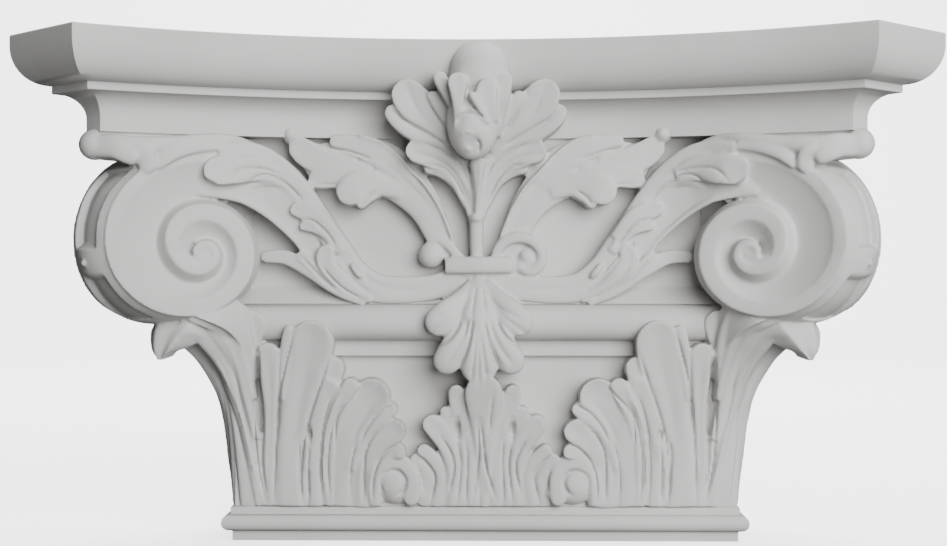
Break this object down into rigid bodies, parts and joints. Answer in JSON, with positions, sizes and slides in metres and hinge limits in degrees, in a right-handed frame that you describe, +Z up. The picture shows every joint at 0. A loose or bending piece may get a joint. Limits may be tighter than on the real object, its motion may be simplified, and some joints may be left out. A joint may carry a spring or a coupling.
{
  "type": "pilaster capital",
  "caption": "Composite pilaster capital cast in plaster: hollow-fronted moulded abacus with cut horns, angle volutes, leaf sprays, flower, shell, acanthus neck and astragal",
  "frame": {"origin": "On the underside plane, under the middle of the bounding box: halfway across the width and halfway between the horn tips and the wall plane", "axes": "+Z up, +X to the right as seen from the front, -Y to the front (horn tips), +Y to the wall; the underside lies at Z = 0 and the back lies in the wall plane"},
  "size_m": [0.531, 0.168, 0.296],
  "materials": {
    "plaster": "matte off-white cast gypsum plaster, unpainted"
  },
  "bodies": {
    "root": {"pilaster_capital": "plaster"}
  },
  "joints": []
}
